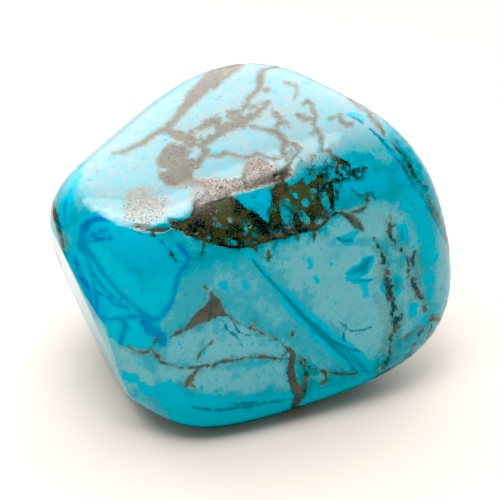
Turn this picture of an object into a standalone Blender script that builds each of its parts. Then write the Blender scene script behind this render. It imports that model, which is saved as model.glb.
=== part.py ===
"""Turquoise nugget: one tumbled stone with worn flats, resting on its level underside.

The stone is described by its worn faces. Each face has the way it looks and its distance from
the middle of the stone; neighbouring faces run into each other over rounded edges. Shallow
hollows and low swells are then pressed into the skin, the underside is ground level, and the
stone is set down with its length along X.
"""
import math

import bmesh
import bpy
from mathutils import Vector

MM = 0.001

# Worn faces: (azimuth, elevation, distance from the middle).
# Azimuth 0 looks to the front (-Y) and grows towards +X; elevation grows upwards. Degrees, mm.
FACES = {
    "crown": (-55, 79, 13.8),
    "brow": (10, 48, 12.0),
    "front_left": (-52, -9, 14.7),
    "front_right": (20, 10, 8.8),
    "right_end": (60, 7, 18.9),
    "right_shoulder": (33, 45, 18.0),
    "right_rear": (105, 0, 19.3),
    "back": (182, 5, 13.9),
    "back_left": (-125, 25, 16.0),
    "back_right": (136, 21, 15.0),
    "low_left": (-14, -41, 18.8),
    "low_right": (36, -47, 15.7),
    "low_back_left": (-146, -39, 16.7),
    "low_back_right": (131, -43, 15.5),
    "underside": (0, -90, 13.1),
}
LEFT_FLAT = (-70, -17, 15.7)    # the flattest face, which meets the others in a tight edge
EDGE_CRISPNESS = 8.0            # larger gives tighter edges between the worn faces
LEFT_CRISPNESS = 32.0
REST_LEVEL = 12.55              # depth of the level underside below the middle, mm

# Shallow marks in the skin: (azimuth, elevation, half width, height), mm; a hollow is negative.
MARKS = {
    "crown_hollow": (-70, 58, 4.6, -0.22),
    "crown_dip": (150, 70, 4.0, -0.25),
    "front_hollow": (-12, -8, 5.0, -0.14),
    "brow_swell": (-30, 30, 4.0, 0.14),
    "left_notch": (-66, 16, 3.0, -0.20),
    "right_hollow": (46, -10, 4.5, -0.18),
    "back_bay": (168, 18, 5.5, -0.40),
    "back_swell": (-160, -6, 5.0, 0.30),
    "back_chip": (128, 46, 3.4, -0.40),
    "left_bay": (-104, 10, 4.6, -0.35),
    "end_swell": (96, -22, 4.5, 0.25),
    "rear_chip": (-128, -12, 3.0, -0.35),
}


def clear_scene():
    for item in list(bpy.data.objects):
        bpy.data.objects.remove(item, do_unlink=True)


def looking(azimuth, elevation):
    """Unit vector that looks this way."""
    a, e = math.radians(azimuth), math.radians(elevation)
    return Vector((math.sin(a) * math.cos(e), -math.cos(a) * math.cos(e), math.sin(e)))


FACE_LIST = [(looking(az, el), dist) for az, el, dist in FACES.values()]
LEFT_NORMAL, LEFT_DISTANCE = looking(*LEFT_FLAT[:2]), LEFT_FLAT[2]


def blend(values, crispness):
    """The largest of some values, with the change from one to the next rounded off."""
    largest = max(values)
    return largest * sum((value / largest) ** crispness for value in values) ** (1 / crispness)


def reach(direction):
    """Distance from the middle to the skin in one direction, mm."""
    near = [max(0.0, normal.dot(direction)) / dist for normal, dist in FACE_LIST]
    left = max(0.0, LEFT_NORMAL.dot(direction)) / LEFT_DISTANCE
    return 1.0 / blend([blend(near, EDGE_CRISPNESS), left], LEFT_CRISPNESS)


def mark_height(point):
    """Height of the hollows and swells at a point of the skin, mm."""
    height = 0.0
    for azimuth, elevation, half_width, rise in MARKS.values():
        way = looking(azimuth, elevation)
        across = (point - way * reach(way)).length / half_width
        height += rise * math.exp(-across * across)
    return height


def build_nugget():
    mesh = bmesh.new()
    bmesh.ops.create_icosphere(mesh, subdivisions=5, radius=1.0)
    for vert in mesh.verts:
        way = vert.co.normalized()
        skin = way * reach(way)
        vert.co = skin + way * mark_height(skin)

    # grind the underside level and close it
    cut = bmesh.ops.bisect_plane(
        mesh, geom=mesh.verts[:] + mesh.edges[:] + mesh.faces[:], dist=1e-4,
        plane_co=(0, 0, -REST_LEVEL), plane_no=(0, 0, -1), clear_outer=True)
    rim = [item for item in cut["geom_cut"] if isinstance(item, bmesh.types.BMEdge)]
    bmesh.ops.contextual_create(mesh, geom=rim)
    bmesh.ops.dissolve_degenerate(mesh, dist=0.02, edges=mesh.edges[:])
    bmesh.ops.triangulate(mesh, faces=mesh.faces[:])
    bmesh.ops.recalc_face_normals(mesh, faces=mesh.faces[:])

    # set it down: middle of its length and depth over the origin, underside on Z = 0
    lows = [min(vert.co[axis] for vert in mesh.verts) for axis in range(3)]
    highs = [max(vert.co[axis] for vert in mesh.verts) for axis in range(3)]
    shift = Vector((-(lows[0] + highs[0]) / 2, -(lows[1] + highs[1]) / 2, -lows[2]))
    for vert in mesh.verts:
        vert.co = (vert.co + shift) * MM

    data = bpy.data.meshes.new("nugget")
    mesh.to_mesh(data)
    mesh.free()
    data.materials.append(stone_material())
    nugget = bpy.data.objects.new("nugget", data)
    bpy.context.scene.collection.objects.link(nugget)


def stone_material():
    stone = bpy.data.materials.new("turquoise")
    stone.use_nodes = True
    shader = stone.node_tree.nodes["Principled BSDF"]
    shader.inputs["Base Color"].default_value = (0.09, 0.46, 0.53, 1.0)
    shader.inputs["Roughness"].default_value = 0.2
    return stone


clear_scene()
build_nugget()
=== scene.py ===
# %% [markdown]
# A tumbled turquoise stone on a white table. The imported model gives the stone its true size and
# its worn faces. This file refines a copy of that skin, draws the stone's markings on it, and
# sets up the polish, the table, the lights and the camera.
# Lengths are in millimetres unless a name says otherwise, and MM turns them into metres.

# %% Load the fixed frame
import math

import bpy
import numpy as np
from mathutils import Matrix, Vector
from mathutils.bvhtree import BVHTree


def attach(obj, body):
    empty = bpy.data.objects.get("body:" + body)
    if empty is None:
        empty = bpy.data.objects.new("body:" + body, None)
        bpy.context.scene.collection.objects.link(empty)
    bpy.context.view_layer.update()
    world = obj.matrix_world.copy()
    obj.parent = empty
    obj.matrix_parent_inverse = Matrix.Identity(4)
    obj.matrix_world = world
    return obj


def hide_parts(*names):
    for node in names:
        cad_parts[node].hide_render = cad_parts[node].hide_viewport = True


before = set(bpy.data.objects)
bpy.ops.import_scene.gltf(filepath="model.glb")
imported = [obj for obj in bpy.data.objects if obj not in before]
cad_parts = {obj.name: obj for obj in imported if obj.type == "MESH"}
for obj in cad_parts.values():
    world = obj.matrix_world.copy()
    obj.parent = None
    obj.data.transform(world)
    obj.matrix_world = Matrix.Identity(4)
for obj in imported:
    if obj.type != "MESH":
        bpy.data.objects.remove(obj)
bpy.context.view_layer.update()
MM = 0.001

# %% [markdown]
# The camera comes first, because the markings are drawn as it sees them. It is a long macro
# lens, 35 degrees above the table, aimed a little above the middle of the stone. Two helpers go
# from the stone to the picture and back: one says where a point falls in the picture, the other
# which way to look for a given place of the picture.

# %% Camera
CAMERA_LIFT = math.radians(35)       # height of the camera above the table, as an angle
CAMERA_DISTANCE = 225.0
CAMERA_LENS = 180.0                  # focal length
SENSOR = 36.0
PICTURE = 500                        # width and height of the picture, in its own units
STONE_MIDDLE = Vector((-0.27, -1.07, 12.55))
AIM_RIGHT, AIM_UP = 0.19, 0.47       # aim, measured from the middle of the stone

look = Vector((0, math.cos(CAMERA_LIFT), -math.sin(CAMERA_LIFT)))
right = Vector((1, 0, 0))
up = right.cross(look)
eye = STONE_MIDDLE + right * AIM_RIGHT + up * AIM_UP - look * CAMERA_DISTANCE

camera_data = bpy.data.cameras.new("camera")
camera_data.lens = CAMERA_LENS
camera_data.sensor_width = SENSOR
camera_data.clip_start = 0.01
camera_data.clip_end = 10.0
camera = bpy.data.objects.new("camera", camera_data)
camera.location = eye * MM
camera.rotation_euler = (math.radians(90) - CAMERA_LIFT, 0, 0)
bpy.context.scene.collection.objects.link(camera)
bpy.context.scene.camera = camera

LENS_SCALE = PICTURE * CAMERA_LENS / SENSOR
UNITS_PER_MM = LENS_SCALE / CAMERA_DISTANCE
print("picture units per millimetre at the stone:", round(UNITS_PER_MM, 2))


def picture_place(places):
    """Where points, an array in mm, fall in the picture."""
    away = places - np.array(eye)
    scale = LENS_SCALE / (away @ np.array(look))
    across = PICTURE / 2 + (away @ np.array(right)) * scale
    down = PICTURE / 2 - (away @ np.array(up)) * scale
    return np.stack([across, down], axis=1)


def sight_line(x, y):
    """Direction from the camera through one place of the picture."""
    aside = right * (x - PICTURE / 2) - up * (y - PICTURE / 2)
    return (look * LENS_SCALE + aside).normalized()


# %% [markdown]
# The stone's skin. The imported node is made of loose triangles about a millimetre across. Its
# faces could be sculpted smooth by hand, but then the size would drift. So a copy of the node is
# merged, subdivided and smoothed until the triangles can no longer be told apart. The side with
# the drawn markings gets a finer net, because the markings are stored on its points.

# %% Tools for meshes
MERGE_WITHIN = 0.002                 # points closer than this are one point


def activate(item):
    bpy.ops.object.select_all(action="DESELECT")
    item.select_set(True)
    bpy.context.view_layer.objects.active = item


def apply_modifier(item, kind, **settings):
    activate(item)
    modifier = item.modifiers.new(kind.lower(), kind)
    for name, value in settings.items():
        setattr(modifier, name, value)
    bpy.ops.object.modifier_apply(modifier=modifier.name)


def copy_of_node(name, new_name):
    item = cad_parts[name].copy()
    item.data = item.data.copy()
    item.name = item.data.name = new_name
    bpy.context.scene.collection.objects.link(item)
    activate(item)
    bpy.ops.object.mode_set(mode="EDIT")
    bpy.ops.mesh.select_all(action="SELECT")
    bpy.ops.mesh.remove_doubles(threshold=MERGE_WITHIN * MM)
    bpy.ops.mesh.normals_make_consistent(inside=False)
    bpy.ops.object.mode_set(mode="OBJECT")
    return item


def face_arrays(item):
    """Middles in mm and normals of all the faces."""
    count = len(item.data.polygons)
    middles, normals = np.empty(count * 3), np.empty(count * 3)
    item.data.polygons.foreach_get("center", middles)
    item.data.polygons.foreach_get("normal", normals)
    return middles.reshape(-1, 3) / MM, normals.reshape(-1, 3)


def facing(places, normals):
    """How squarely each place looks at the camera: 1 is square on, 0 edge-on."""
    towards = np.array(eye) - places
    towards /= np.linalg.norm(towards, axis=1)[:, None]
    return (normals * towards).sum(axis=1)


def cut_faces(item, chosen, cuts):
    """Divide the chosen faces with this many cuts along each edge."""
    activate(item)
    item.data.vertices.foreach_set("select", np.zeros(len(item.data.vertices), bool))
    item.data.edges.foreach_set("select", np.zeros(len(item.data.edges), bool))
    item.data.polygons.foreach_set("select", chosen)
    bpy.ops.object.mode_set(mode="EDIT")
    bpy.ops.mesh.select_mode(type="FACE")
    bpy.ops.mesh.subdivide(number_cuts=cuts, smoothness=0)
    bpy.ops.object.mode_set(mode="OBJECT")


print("triangles in the packed node:", len(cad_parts["nugget"].data.polygons))

# %% Refine the skin
DRAWN_FACING = 0.05                  # a face that looks at the camera more than this is drawn on
FRONT_CUTS, BACK_CUTS = 2, 1         # extra cuts on the drawn side and elsewhere
FIRST_SMOOTHING, LAST_SMOOTHING = 10, 30

stone = copy_of_node("nugget", "stone")
apply_modifier(stone, "SUBSURF", levels=1, render_levels=1)
apply_modifier(stone, "SMOOTH", factor=0.5, iterations=FIRST_SMOOTHING)
cut_faces(stone, facing(*face_arrays(stone)) > DRAWN_FACING, FRONT_CUTS)
cut_faces(stone, facing(*face_arrays(stone)) <= DRAWN_FACING, BACK_CUTS)
apply_modifier(stone, "SMOOTH", factor=0.5, iterations=LAST_SMOOTHING)
activate(stone)
bpy.ops.object.shade_smooth()
skin = stone.data
triangles = sum(len(face.vertices) - 2 for face in skin.polygons)
print("skin:", len(skin.vertices), "points,", triangles, "triangles")


# %% Skin points as an array
def read_vectors(source, name):
    values = np.empty(len(skin.vertices) * 3)
    source.foreach_get(name, values)
    return values.reshape(-1, 3)


def set_points(places):
    skin.vertices.foreach_set("co", (places * MM).ravel())
    skin.update()


points = read_vectors(skin.vertices, "co") / MM
print("highest point of the skin, mm:", points[:, 2].max().round(2))

# %% [markdown]
# Much of this file places things along paths that are drawn as the camera sees them. A path is a
# list of rows: x and y in the picture, and a half width in the same units. The stone could be
# painted instead, but a path can be read and changed here, and its edge stays sharp when the
# camera comes close.

# %% Tools for paths
FAR = 2.0                    # distances are not followed further than this
PATH_STEP = 4.0              # spacing of a path's places after smoothing, in picture units


def skin_tree():
    """What a line of sight is tested against."""
    corners = [tuple(face.vertices) for face in skin.polygons]
    return BVHTree.FromPolygons([Vector(p) for p in points], corners)


def smooth_path(path):
    """A curve through the path's rows, with a place every PATH_STEP."""
    rows = np.array(path, dtype=float)
    if len(rows) < 2:
        return rows
    ends = np.vstack([2 * rows[0] - rows[1], rows, 2 * rows[-1] - rows[-2]])
    made = []
    for before, a, b, after in zip(ends, ends[1:], ends[2:], ends[3:]):
        steps = max(1, round(float(np.hypot(*(b - a)[:2])) / PATH_STEP))
        for t in np.arange(steps) / steps:
            bend = 2 * before - 5 * a + 4 * b - after
            sway = 3 * a - before - 3 * b + after
            made.append(0.5 * (2 * a + (b - before) * t + bend * t ** 2 + sway * t ** 3))
    made.append(rows[-1])
    return np.array(made)


def lay_on_skin(path):
    """Rows of x, y, z and half width in mm, for a path drawn in the picture."""
    laid = []
    for x, y, half in smooth_path(path):
        hit = tree.ray_cast(eye, sight_line(x, y))[0]
        if hit is not None:
            laid.append([*hit, half / UNITS_PER_MM])
    return np.array(laid)


def capsule_distance(rows, field, far=FAR):
    """Distance from field's points to a chain of rows, which end in a half width."""
    distance = np.full(len(field), far)
    if len(rows) == 0:
        return distance
    reach = far + rows[:, -1].max()
    low, high = rows[:, :-1].min(axis=0) - reach, rows[:, :-1].max(axis=0) + reach
    near = np.all((field > low) & (field < high), axis=1)
    close = field[near]
    best = np.full(len(close), far)
    for a, b in zip(rows, rows[1:] if len(rows) > 1 else rows):
        along = b[:-1] - a[:-1]
        t = np.clip((close - a[:-1]) @ along / max(along @ along, 1e-9), 0, 1)
        gap = np.linalg.norm(close - a[:-1] - t[:, None] * along, axis=1)
        best = np.minimum(best, gap - a[-1] - t * (b[-1] - a[-1]))
    distance[near] = best
    return distance


tree = skin_tree()
print("triangles a line of sight can meet:", triangles)

# %% [markdown]
# The stone has one crisp edge, the arris where the front meets the left flat. Smoothing has
# rounded it away, and a bevel or a crease can't bring it back, because no line of points runs
# along it. So it is made as on the real stone, by grinding. The skin along the arris is first
# filled out towards the camera, fully within ARRIS_CREST of the arris and fading to nothing over
# ARRIS_REACH.

# %% Fill out the arris
ARRIS = [                            # x, y and half width, which is more where the skin dips
    (56, 224, 0), (62, 250, 0), (75, 280, 6), (84, 302, 14), (98, 320, 6), (110, 348, 0), (118, 372, 0),
    (130, 394, 0)
]
ARRIS_FILL, ARRIS_CREST, ARRIS_REACH = 4.0, 1.0, 8.5

arris_gap = capsule_distance(lay_on_skin(ARRIS), points, ARRIS_CREST + ARRIS_REACH)
filled = ARRIS_FILL * np.clip(1 - (arris_gap - ARRIS_CREST) / ARRIS_REACH, 0, 1) ** 2
points -= filled[:, None] * np.array(look)
print("filled out towards the camera, mm:", filled.max().round(2))

# %% [markdown]
# Then what stands out past the plane of the left flat is pressed back onto it, which leaves a
# true flat and a true edge. Cutting it off with a bisect would leave one large face with no
# points for the markings.

# %% Grind the left flat
FLAT_AZIMUTH, FLAT_RISE = math.radians(-69.6), math.radians(-16.4)
FLAT_DISTANCE = 15.9                 # from the middle of the stone
ARRIS_WEAR = 0.05                    # how softly the flat runs into the skin
MIDDLE = Vector((0, 0, 12.55))       # the point that the worn faces are measured from

flat_out = np.array((math.sin(FLAT_AZIMUTH) * math.cos(FLAT_RISE),
                     -math.cos(FLAT_AZIMUTH) * math.cos(FLAT_RISE), math.sin(FLAT_RISE)))
proud = (points - np.array(MIDDLE)) @ flat_out - FLAT_DISTANCE
pressed = ARRIS_WEAR * np.logaddexp(0, proud / ARRIS_WEAR)
points -= pressed[:, None] * flat_out
points[:, 2] = np.maximum(points[:, 2], 0.0)     # nothing sinks into the table
set_points(points)
print("ground away, mm:", pressed.max().round(2))

# %% [markdown]
# The skin now has its large shape. Its normals tell how squarely each point faces the camera,
# and so how well a marking that is drawn from there can be laid on it.

# %% Directions of the skin
normals = read_vectors(skin.vertex_normals, "vector")
facings = facing(points, normals)
places = picture_place(points)
print("lowest and highest point:", points[:, 2].min().round(3), points[:, 2].max().round(3))
print("picture extent:", places.min(axis=0).round(1), places.max(axis=0).round(1))

# %% [markdown]
# The markings are natural: turquoise fills cracks in a brown rock, so brown veins and patches
# wander through it, and the blue is stronger along old cracks. Each vein is drawn as a path of
# places in the picture with a half width, then laid on the skin from the camera, so that it
# keeps its true width where the stone turns away. Each patch is drawn as a closed outline.
# Both become one number at every skin point: the distance in mm to the marking's edge, negative
# inside it. The material later turns that distance into a ragged edge.

# %% Tools for markings
SEEN_FACING, RIM_FACING = 0.02, 0.16     # the camera sees the skin, and sees it well, above these
RIM_STEEPNESS = 14.0                     # how fast a drawn width gives way round the rim
seen = facings > SEEN_FACING

tree = skin_tree()


def path_distance(path):
    """Distance from every skin point to the edge of a path drawn in the picture, mm.

    Where the camera sees the skin well, the drawn width holds as drawn. Round the rim, the
    path's own width in space takes over.
    """
    drawn = capsule_distance(smooth_path(path) / UNITS_PER_MM, places / UNITS_PER_MM)
    drawn += np.clip(RIM_FACING - facings, 0, None) * RIM_STEEPNESS
    return np.minimum(drawn, capsule_distance(lay_on_skin(path), points))


def outline_distance(outline):
    """Distance from every skin point that the camera sees to a closed outline, mm."""
    distance = np.full(len(points), FAR)
    corners = np.array(outline, dtype=float)
    reach = FAR * UNITS_PER_MM
    low, high = corners.min(axis=0) - reach, corners.max(axis=0) + reach
    near = seen & np.all((places > low) & (places < high), axis=1)
    close = places[near]
    best, inside = np.full(len(close), np.inf), np.zeros(len(close), bool)
    for a, b in zip(corners, np.roll(corners, -1, axis=0)):
        along = b - a
        t = np.clip((close - a) @ along / max(along @ along, 1e-9), 0, 1)
        best = np.minimum(best, np.linalg.norm(close - a - t[:, None] * along, axis=1))
        crosses = (a[1] > close[:, 1]) != (b[1] > close[:, 1])
        inside ^= crosses & (close[:, 0] < a[0] + along[0] * (close[:, 1] - a[1]) / (along[1] or 1e-9))
    distance[near] = np.where(inside, -best, best) / UNITS_PER_MM
    return distance


def nearest(paths=(), outlines=()):
    """Distance to the nearest of several markings."""
    distance = np.full(len(points), FAR)
    for path in paths:
        distance = np.minimum(distance, path_distance(path))
    for outline in outlines:
        distance = np.minimum(distance, outline_distance(outline))
    return np.clip(distance, -FAR, FAR)


def store(name, values):
    attribute = skin.attributes.new(name, "FLOAT", "POINT")
    attribute.data.foreach_set("value", values.astype(np.float32))
    print(name, "from", round(float(values.min()), 2), "to", round(float(values.max()), 2))


# %% [markdown]
# The brown rock. Rows are x, y and half width in picture units. The crown carries wide soft
# veins, a dark lens of broken rock lies along the brow, and thinner veins cross the front. A
# crack texture could draw such a net by itself, but its cracks are all alike, so each vein has
# its own path.

# %% Veins of the crown
CROWN_VEINS = {
    "crown main": [
        (237, 64, 3), (228, 66, 4), (221, 70, 5), (215, 75, 6), (208, 81, 7), (203, 87, 7),
        (197, 93, 6.5), (191, 99, 6), (187, 105, 4.5), (182, 111, 4), (177, 117, 3), (172, 123, 3),
        (167, 129, 3.5)
    ],
    "crown main fork": [(242, 66, 1.5), (232, 71, 2), (224, 78, 1.6), (217, 84, 2), (214, 88, 1.6)],
    "crown left": [
        (168, 129, 3), (160, 131, 2.4), (154, 134, 2), (149, 138, 2), (142, 143, 2.2), (132, 148, 1.8),
        (124, 152, 1.3), (112, 153, 0.8)
    ],
    "crown middle": [
        (168, 130, 3), (175, 134, 4), (183, 137, 4.5), (191, 139, 4.5), (199, 139, 3.5), (205, 142, 3)
    ],
    "crown middle dots": [(186, 143, 3), (190, 147, 3), (194, 143, 2)],
    "crown middle down": [(199, 141, 3), (203, 147, 3.5), (206, 153, 3), (201, 158, 3), (197, 164, 4)],
    "crown upper limb": [
        (188, 135, 2.4), (195, 131, 2.2), (203, 127, 2.6), (210, 123, 4), (217, 121, 5), (219, 127, 4),
        (226, 126, 4), (233, 120, 5.5), (230, 114, 3.5), (237, 113, 3.5), (239, 118, 4)
    ],
    "crown lower limb": [
        (204, 143, 3), (211, 139, 3.4), (218, 134, 3.6), (226, 130, 3.6), (234, 126, 4), (242, 122, 4),
        (249, 119, 3.2), (256, 114, 2.6), (262, 109, 2.4), (268, 103, 1.8)
    ],
    "crown right": [
        (265, 70, 2), (260, 75, 3), (260, 83, 3), (258, 90, 2.2), (252, 95, 1.6), (248, 100, 1.6),
        (246, 106, 2.6), (242, 110, 2), (237, 113, 2)
    ],
    "crown right dot": [(263, 90, 1), (268, 90, 1.4)],
    "crown bridge": [(248, 110, 1), (255, 106, 0.9), (262, 104, 1.2)],
    "under fragment": [
        (206, 156, 1.6), (212, 156, 1.4), (220, 156, 1.2), (227, 153, 1.6), (234, 155, 1.2),
        (244, 157, 1.3), (252, 156, 1.8), (257, 153, 1.4), (263, 155, 1.2), (272, 158, 1), (280, 158, 1),
        (286, 156, 1.2)
    ],
    "over fragment": [
        (240, 127, 1.6), (247, 125, 1.2), (255, 127, 1.2), (263, 129, 1.2), (270, 131, 2.2),
        (276, 132, 3), (282, 137, 3), (285, 143, 3), (283, 149, 2.4), (285, 155, 2)
    ],
    "beside fragment": [
        (285, 141, 2), (291, 142, 1.6), (296, 145, 1.4), (301, 148, 1.2), (294, 149, 1.2), (287, 152, 1.6)
    ],
    "right cluster": [
        (273, 111, 1.4), (275, 115, 1.8), (280, 118, 1.6), (283, 122, 2.2), (279, 124, 1.6),
        (276, 127, 1.8), (277, 131, 2)
    ],
    "right cluster limb": [(283, 121, 1.6), (287, 124, 1.4), (290, 127, 1)],
    "crown far right": [
        (304, 104, 1), (308, 101, 1.4), (311, 104, 1.4), (312, 110, 1.5), (316, 116, 1.8),
        (314, 122, 1.2), (316, 129, 1.6), (321, 134, 1.6), (322, 140, 1.6), (323, 146, 1.4),
        (323, 151, 1.5), (329, 151, 1.4), (333, 155, 1.4), (338, 160, 1.4)
    ],
    "crown far right twig": [(312, 133, 1), (317, 130, 1.2)],
    "soft brown": [(298, 115, 1.4), (303, 118, 2.6), (307, 119, 2)],
    "soft brown tail": [(307, 119, 1.4), (313, 120, 1)],
    "faint crown": [(285, 83, 0.8), (291, 84, 1), (296, 86, 1.2), (297, 92, 0.9), (294, 99, 0.6)],
    "faint ring": [(340, 115, 1), (341, 120, 1.2), (345, 125, 1.4), (352, 124, 1)],
    "faint dash": [(330, 119, 0.9), (334, 118, 0.8)],
}
print("veins of the crown:", len(CROWN_VEINS))

# %% Veins of the brow and the rim
BROW_VEINS = {
    "under right": [(279, 175, 2.4), (285, 172, 2.6), (290, 170, 2)],
    "brow network 1": [(291, 141, 1), (297, 147, 1.3), (290, 153, 1.2), (287, 160, 1.2)],
    "brow network 2": [(300, 150, 1), (294, 158, 1.3), (290, 166, 1.6), (284, 172, 2)],
    "brow network 3": [(303, 161, 0.8), (309, 167, 1), (312, 172, 1.2)],
    "rim upper": [
        (351, 99, 1), (357, 106, 1), (366, 110, 1.3), (373, 119, 1.6), (380, 126, 1.6), (384, 134, 1.3)
    ],
    "rim middle": [
        (393, 143, 0.6), (398, 149, 1), (403, 156, 1.2), (407, 162, 1), (411, 168, 1.6), (414, 176, 1.3),
        (421, 183, 1), (427, 189, 0.7)
    ],
    "rim lower": [
        (428, 196, 1), (431, 204, 1.4), (436, 213, 0.8), (441, 224, 0.8), (446, 236, 0.8), (449, 250, 0.6)
    ],
    "brow tail": [
        (333, 214, 2), (340, 213, 1.5), (346, 215, 2.4), (352, 218, 3.2), (357, 224, 3.8), (362, 229, 2.4)
    ],
    "brow tail upper": [(351, 212, 1), (358, 211, 1.3), (364, 208, 0.9)],
    "dark thread 1": [
        (334, 159, 1.4), (340, 161, 2), (347, 164, 1.8), (352, 168, 1.5), (358, 171, 1.6), (366, 168, 1)
    ],
    "dark thread 2": [(337, 166, 1.2), (338, 174, 1.6), (346, 180, 1.2), (337, 180, 2), (330, 184, 2)],
    "dark thread 3": [(352, 168, 1), (353, 174, 1), (360, 178, 1.2), (366, 173, 0.8)],
    "dark spot": [(368, 195, 1.4), (367, 202, 1)],
}
print("veins of the brow and the rim:", len(BROW_VEINS))

# %% Veins of the right
RIGHT_VEINS = {
    "right main": [
        (374, 237, 0.6), (377, 243, 1), (380, 250, 0.9), (383, 257, 1.1), (387, 264, 1.4),
        (388, 271, 1.4), (389, 279, 1.6), (390, 287, 2.2), (391, 296, 3), (393, 304, 1.6),
        (394, 312, 1.2), (396, 320, 2.2), (396, 327, 2), (392, 335, 1.6), (391, 343, 1.2),
        (390, 350, 1.4), (389, 357, 1.4), (386, 364, 1), (382, 369, 0.7)
    ],
    "right main strand": [
        (384, 262, 0.6), (385, 272, 0.8), (386, 282, 1), (388, 292, 1.2), (390, 303, 0.8),
        (392, 316, 0.8), (394, 330, 0.7)
    ],
    "right main spur": [(387, 265, 1), (381, 263, 0.7)],
    "right loop": [(395, 306, 0.8), (399, 312, 0.9), (400, 320, 1), (399, 327, 0.8)],
    "right second": [
        (386, 221, 0.7), (391, 226, 1.2), (388, 231, 1.2), (392, 237, 0.9), (396, 244, 0.8),
        (400, 248, 0.8), (405, 254, 1), (408, 260, 0.8), (408, 268, 0.8), (408, 276, 1.1)
    ],
    "right third": [
        (415, 251, 1), (413, 258, 1.6), (413, 264, 1.4), (416, 271, 0.8), (419, 277, 1.1), (412, 280, 1),
        (414, 287, 2.2), (418, 293, 1.8), (420, 300, 1.2)
    ],
    "right fourth": [(422, 296, 0.8), (424, 303, 0.8), (425, 310, 1.8)],
    "right specks": [(391, 217, 0.8), (394, 224, 0.7)],
    "low right 1": [
        (432, 315, 0.6), (429, 322, 0.7), (421, 326, 0.7), (415, 330, 1), (409, 334, 0.8), (403, 341, 0.6)
    ],
    "low right 2": [(425, 325, 0.6), (418, 336, 0.8), (414, 345, 0.9), (409, 354, 1.1), (402, 362, 0.8)],
    "low right 3": [(431, 318, 0.6), (431, 329, 0.6), (427, 338, 0.5)],
    "low right 4": [(396, 366, 1), (386, 372, 1.2), (376, 378, 0.8)],
}
print("veins of the right:", len(RIGHT_VEINS))

# %% Veins of the front
FRONT_VEINS = {
    "tail of triangle": [(172, 337, 1), (178, 332, 1.5), (186, 329, 1.4), (194, 325, 1.5)],
    "tip of triangle": [(203, 286, 0.6), (208, 290, 1.2), (213, 296, 2)],
    "front thread": [
        (224, 312, 0.5), (232, 319, 0.4), (241, 324, 0.4), (250, 328, 0.6), (258, 331, 0.6),
        (266, 335, 0.4), (274, 338, 0.4), (281, 343, 0.6), (287, 348, 0.8), (291, 354, 1)
    ],
    "front thread barb": [(250, 328, 0.8), (256, 321, 0.9)],
    "front long 1": [
        (128, 346, 0.4), (133, 350, 0.7), (140, 352, 1.1), (147, 352, 1.4), (151, 349, 1.7),
        (155, 354, 1), (159, 358, 1.8), (161, 362, 1.2), (168, 364, 0.5), (175, 366, 0.4),
        (184, 368, 0.6), (192, 368, 0.8)
    ],
    "front long 2": [
        (192, 368, 0.8), (200, 367, 0.8), (206, 366, 0.9), (213, 366, 1.1), (219, 363, 0.8),
        (226, 361, 1.4), (236, 360, 1), (245, 358, 0.8), (255, 357, 1), (265, 357, 1.4), (272, 358, 1.2),
        (280, 359, 0.8), (288, 359, 0.8), (293, 357, 1.2)
    ],
    "front riser": [(151, 348, 0.9), (155, 342, 0.7), (159, 337, 0.5)],
    "front stub": [(198, 368, 1), (195, 373, 1.7), (191, 378, 2.6), (188, 383, 2.6), (186, 388, 1.2)],
    "front stub side": [(189, 383, 1.6), (194, 387, 0.8)],
    "front hair": [(213, 341, 0.4), (207, 347, 0.8), (201, 352, 0.6), (198, 358, 0.4), (197, 365, 0.4)],
    "low wide": [
        (289, 349, 1.6), (293, 356, 2.4), (291, 366, 3), (292, 374, 4), (293, 382, 3.6), (297, 390, 5.5),
        (299, 397, 4.6), (294, 406, 3)
    ],
    "low wide side": [(304, 366, 1.2), (306, 376, 2), (305, 385, 3), (303, 393, 3)],
    "low branch": [
        (298, 361, 0.9), (304, 366, 1.2), (311, 368, 0.6), (318, 370, 1), (326, 372, 1.5),
        (335, 373, 1.2), (343, 374, 1.2), (351, 374, 1.7), (357, 373, 1)
    ],
    "low branch stub": [(326, 371, 1.4), (326, 378, 1.8), (322, 384, 1.4)],
    "low twig": [(302, 358, 0.9), (306, 362, 1.1), (303, 367, 1.2)],
    "low triangle side": [(289, 350, 1), (284, 355, 0.8), (281, 359, 0.8)],
    "front speck": [(293, 333, 1.4), (293, 335, 1.4)],
    "cell thread": [
        (150, 232, 0.6), (156, 237, 0.7), (161, 241, 0.9), (166, 247, 0.7), (171, 254, 0.6),
        (176, 262, 0.5)
    ],
    "cell lip": [(136, 227, 1.4), (143, 229, 1.2), (150, 231, 1.4), (160, 231, 1.8), (168, 229, 2)],
    "rim of left": [
        (54, 190, 1.4), (53, 203, 1.8), (55, 214, 2), (59, 227, 1), (62, 238, 0.8), (64, 250, 1)
    ],
}
print("veins of the front:", len(FRONT_VEINS))

# %% Spikes under the lens
LENS_SPIKES = {
    "lens spike 1": [(206, 240, 2), (204, 247, 1.2), (202, 254, 0.5)],
    "lens spike 2": [(256, 247, 1.8), (257, 250, 0.8)],
    "lens spike 3": [(269, 251, 1), (269, 256, 2), (268, 259, 1.6)],
    "lens spike 4": [(275, 242, 1.2), (273, 247, 0.8)],
    "lens spike 5": [(314, 232, 1.6), (314, 239, 0.6)],
    "lens spike 6": [(297, 235, 1.8), (298, 239, 1)],
}
print("spikes under the lens:", len(LENS_SPIKES))

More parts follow.
